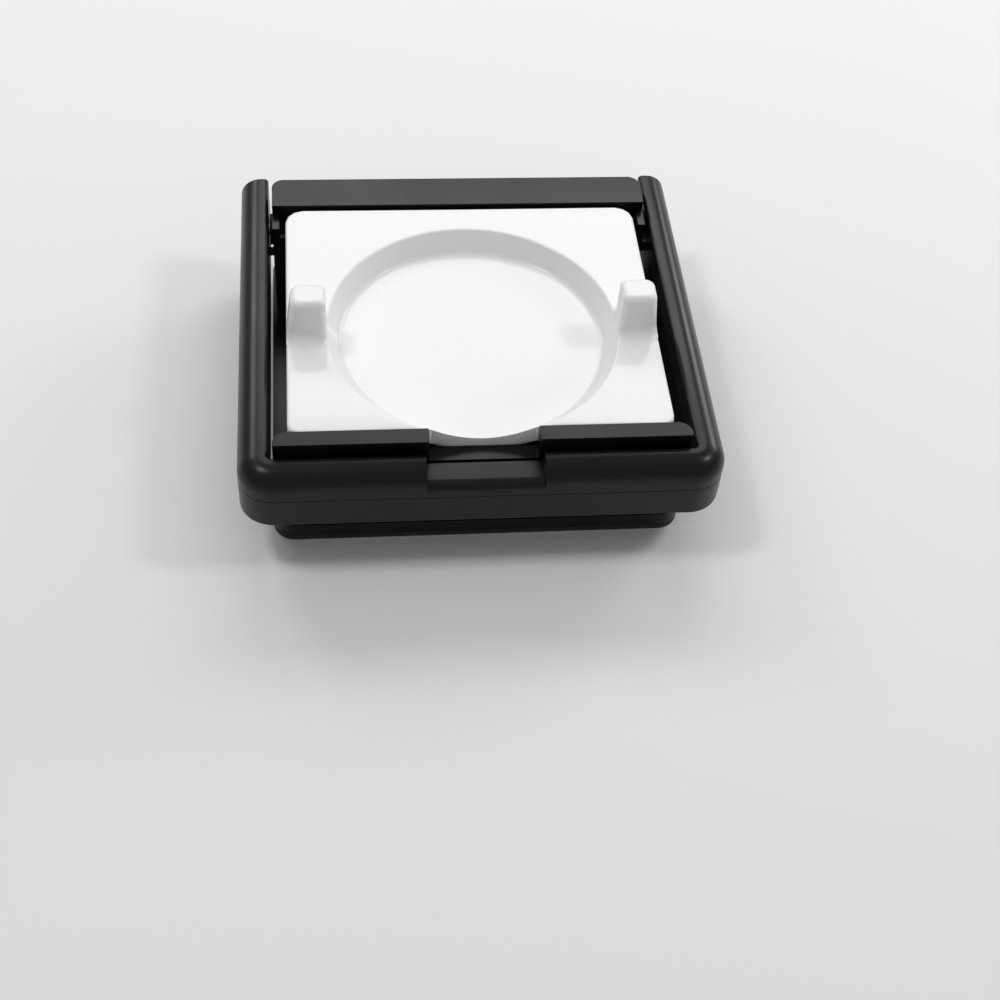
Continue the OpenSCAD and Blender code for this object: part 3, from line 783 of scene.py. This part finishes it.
# %% Geometry Nodes tree: one screw on every point
def screw_tree():
    """A tree that puts the screw object on every point of the mesh."""
    tree = bpy.data.node_groups.new("Screw on every point", "GeometryNodeTree")
    tree.interface.new_socket("Places", in_out="INPUT", socket_type="NodeSocketGeometry")
    tree.interface.new_socket("Screw", in_out="INPUT", socket_type="NodeSocketObject")
    tree.interface.new_socket("Turn per screw", in_out="INPUT", socket_type="NodeSocketFloat")
    tree.interface.new_socket("Material", in_out="INPUT", socket_type="NodeSocketMaterial")
    tree.interface.new_socket("Screws", in_out="OUTPUT", socket_type="NodeSocketGeometry")
    start, end = tree.nodes.new("NodeGroupInput"), tree.nodes.new("NodeGroupOutput")
    screw = tree.nodes.new("GeometryNodeObjectInfo")
    turn = tree.nodes.new("ShaderNodeCombineXYZ")
    index = tree.nodes.new("GeometryNodeInputIndex")
    angle = tree.nodes.new("ShaderNodeMath")
    angle.operation = "MULTIPLY"
    put = tree.nodes.new("GeometryNodeInstanceOnPoints")
    real = tree.nodes.new("GeometryNodeRealizeInstances")
    paint = tree.nodes.new("GeometryNodeSetMaterial")
    wire(tree, [
        (start.outputs["Places"], put.inputs["Points"]), (start.outputs["Screw"], screw.inputs["Object"]),
        (screw.outputs["Geometry"], put.inputs["Instance"]), (index.outputs["Index"], angle.inputs[0]),
        (start.outputs["Turn per screw"], angle.inputs[1]), (angle.outputs["Value"], turn.inputs["Z"]),
        (turn.outputs["Vector"], put.inputs["Rotation"]), (put.outputs["Instances"], real.inputs["Geometry"]),
        (real.outputs["Geometry"], paint.inputs["Geometry"]), (start.outputs["Material"], paint.inputs["Material"]),
        (paint.outputs["Geometry"], end.inputs["Screws"]),
    ])
    return tree


screws_tree = screw_tree()
print("tree:", screws_tree.name)

# %% [markdown]
# The screw itself is turned round its axis: a pan head with a soft edge and a shaft. A real thread is a spiral. At
# this size a row of closed ridges looks the same and stays watertight. Two tapered bars cut the cross recess.


# %% Helper: turn a profile round z
def turned(name, profile, steps):
    """A solid turned round z from (radius, height) pairs, the first and the last of them on the axis."""
    points = [(0, 0, profile[0][1])]
    for r, z in profile[1:-1]:
        points += [(x, y, z) for x, y in circle(0, 0, r, steps)]
    points.append((0, 0, profile[-1][1]))
    faces = [(0, 1 + i, 1 + (i + 1) % steps) for i in range(steps)]
    for k in range(len(profile) - 3):
        a, b = 1 + k * steps, 1 + (k + 1) * steps
        faces += [(a + i, a + (i + 1) % steps, b + (i + 1) % steps, b + i) for i in range(steps)]
    last, base = len(points) - 1, 1 + (len(profile) - 3) * steps
    faces += [(last, base + (i + 1) % steps, base + i) for i in range(steps)]
    return new_object(name, points, faces)


print("helper: turned")


# %% One screw, put on every spot
def make_screws(name, spots, under_head_z, shaft_r, head_r, head_t, length, body, node):
    """A pan head screw with a cross recess and a ridged shaft, put on every spot."""
    soft, core_r, tip_r = head_t * 0.35, shaft_r * 0.84, shaft_r * 0.4
    head = [(head_r - soft + soft * math.sin(math.radians(a)), -head_t + soft - soft * math.cos(math.radians(a)))
            for a in range(0, 91, 30)]
    pitch, neck, step_up, steps = shaft_r * 0.7, 0.3, 0.02, 28
    ridges, z = [], neck
    while z < length - pitch * 2:
        ridges += [(core_r, z), (shaft_r, z + pitch * 0.5)]
        z += pitch
    profile = [(0, -head_t)] + head + [(head_r, 0), (core_r, step_up)] + ridges
    profile += [(core_r, z), (tip_r, length), (0, length)]
    screw = turned("screw", profile, steps)
    deep, half, wide, above_head, taper = head_t * 0.5, head_r * 0.6, shaft_r / 8, 0.5, 0.8
    bar = [(-half, -wide), (half, -wide), (half, wide), (-half, wide)]
    for box in (bar, [(-y, x) for x, y in bar]):
        cut(screw, ring_solid("recess", [[(x, y, -head_t - above_head) for x, y in box],
                                         [(x * taper, y * taper, -head_t + deep) for x, y in box]]))
    shade(screw, angle=40)
    made = new_object(name, [(x, y, under_head_z) for x, y in spots], [])
    set_inputs(made, screws_tree, screw=screw, turn_per_screw=0.7, material=screw_steel)
    bake(made)
    bpy.data.objects.remove(screw)
    dress(made, screw_steel, body, node)


print("helper: make_screws")

# %% [markdown]
# The four large screws stand in the corners of the base, and the six small ones in the recesses made above. Each is
# turned a little further than the one before, because no two screws are ever tightened alike.

# %% All screws
base_low, base_high = box_mm("base_screws")
head_r, head_t, shaft_r = 3.1, 1.8, 1.5
spot_x, front_spot, rear_spot = base_high[0] - head_r, base_low[1] + head_r, base_high[1] - head_r
make_screws("base_screw_set", [(x, y) for x in (-spot_x, spot_x) for y in (front_spot, rear_spot)],
            base_low[2] + head_t, shaft_r, head_r, head_t, base_high[2] - base_low[2] - head_t, "base", "base_screws")
head_r, head_t, shaft_r = 1.8, 1.4, 1.0
make_screws("stand_screw_set", stand_screw_spots, screw_low[2] + head_t, shaft_r, head_r, head_t,
            screw_high[2] - screw_low[2] - head_t, "lid_stand", "stand_screws")

# %% [markdown]
# ## Hinge pins and washers
#
# The CAD solids of the pins and washers are exact and almost hidden, so they stay as they are and only get their
# finishes: ground steel for the pins and black nylon for the washers.

# %% Finishes of the hinge
for node, material in (("hinge_pin_left", pin_steel), ("hinge_pin_right", pin_steel),
                       ("hinge_washer_left", nylon), ("hinge_washer_right", nylon)):
    nodes[node].data.materials.clear()
    nodes[node].data.materials.append(material)
    print(node, "in", material.name)

# %% [markdown]
# ## Floor
#
# The object stands on a plain, pale, dull floor, so that its shadow and its black front stand out. The floor is
# staged: it shows in the picture and isn't part of the model.

# %% Floor
floor_half = 6.0
mesh = bpy.data.meshes.new("floor")
mesh.from_pydata([(-floor_half, -floor_half, 0), (floor_half, -floor_half, 0), (floor_half, floor_half, 0),
                  (-floor_half, floor_half, 0)], [], [(0, 1, 2, 3)])
floor = bpy.data.objects.new("floor", mesh)
bpy.context.scene.collection.objects.link(floor)
floor_paint = bpy.data.materials.new("Pale floor")
floor_paint.use_nodes = True
floor_shader = floor_paint.node_tree.nodes["Principled BSDF"]
floor_shader.inputs["Base Color"].default_value = (0.88, 0.88, 0.885, 1.0)
floor_shader.inputs["Roughness"].default_value = 0.6
floor.data.materials.append(floor_paint)
print("floor staged")

# %% [markdown]
# ## Light
#
# The photo shows the tops of the black bars grey and the front faces almost black, which means soft light from behind
# and little from the front. A lamp that a flat top mirrors to the camera stands above and behind. One on either side
# of it reaches the rounded arms, and two small ones overhead give the short highlights on the stand's front corners.
# The world fills in weakly. The lamps stay low enough for the white tray not to clip.


# %% Lights
target = Vector((0, 0, 0.03))


def soft_light(name, place, width, height, power):
    """A rectangular area light that looks at the object."""
    lamp = bpy.data.lights.new(name, "AREA")
    lamp.shape, lamp.size, lamp.size_y, lamp.energy = "RECTANGLE", width, height, power
    made = bpy.data.objects.new(name, lamp)
    made.location = place
    made.rotation_euler = (target - Vector(place)).to_track_quat("-Z", "Y").to_euler()
    bpy.context.scene.collection.objects.link(made)


soft_light("window_behind", (0.10, 0.70, 0.70), 0.64, 0.26, 2.2)
soft_light("behind_left", (-0.50, 0.74, 0.62), 0.28, 0.28, 1.5)
soft_light("behind_right", (0.84, 0.66, 0.42), 0.46, 0.22, 2.4)
soft_light("above_left", (-0.42, 0.0, 0.92), 0.16, 0.16, 1.7)
soft_light("above_right", (0.68, -0.05, 0.82), 0.16, 0.16, 1.7)

# %% World and view
world = bpy.data.worlds.new("room")
bpy.context.scene.world = world
world.use_nodes = True
backdrop = world.node_tree.nodes["Background"]
backdrop.inputs["Color"].default_value = (1.0, 1.0, 1.0, 1.0)
backdrop.inputs["Strength"].default_value = 0.34
bpy.context.scene.view_settings.view_transform = "Standard"
print("world strength", round(backdrop.inputs["Strength"].default_value, 2))

# %% [markdown]
# ## Camera
#
# The camera stands where the photo was taken from: a little to the left of the middle, and high enough to look into
# the well. The photo's upright edges stay parallel, as if its view had been straightened afterwards, which no plain
# camera does. So the place, the turn and the lens are the best fit of a plain camera to the photo's edges, with a
# slight roll and no shift, so that views from other sides stay in the middle.

# %% Camera
eye = Vector((-43.8, -357.9, 384.7)) * MM
sensor, focal_share = 36.0, 1.622
pitch, yaw, roll = (math.radians(a) for a in (50.32, 9.27, 5.45))
level_ahead = Vector((math.sin(yaw), math.cos(yaw), 0))
level_right = Vector((math.cos(yaw), -math.sin(yaw), 0))
ahead = math.cos(pitch) * level_ahead - Vector((0, 0, math.sin(pitch)))
above = math.sin(pitch) * level_ahead + Vector((0, 0, math.cos(pitch)))
right = math.cos(roll) * level_right + math.sin(roll) * above
up = math.cos(roll) * above - math.sin(roll) * level_right
lens = bpy.data.cameras.new("camera")
lens.sensor_width = sensor
lens.lens = sensor * focal_share
lens.clip_start, lens.clip_end = 0.01, 50.0
camera = bpy.data.objects.new("camera", lens)
turn = Matrix((right, up, -ahead)).transposed()
camera.matrix_world = Matrix.Translation(eye) @ turn.to_4x4()
bpy.context.scene.collection.objects.link(camera)
bpy.context.scene.camera = camera
print("camera at", [round(v, 3) for v in eye], "lens", round(lens.lens, 1))
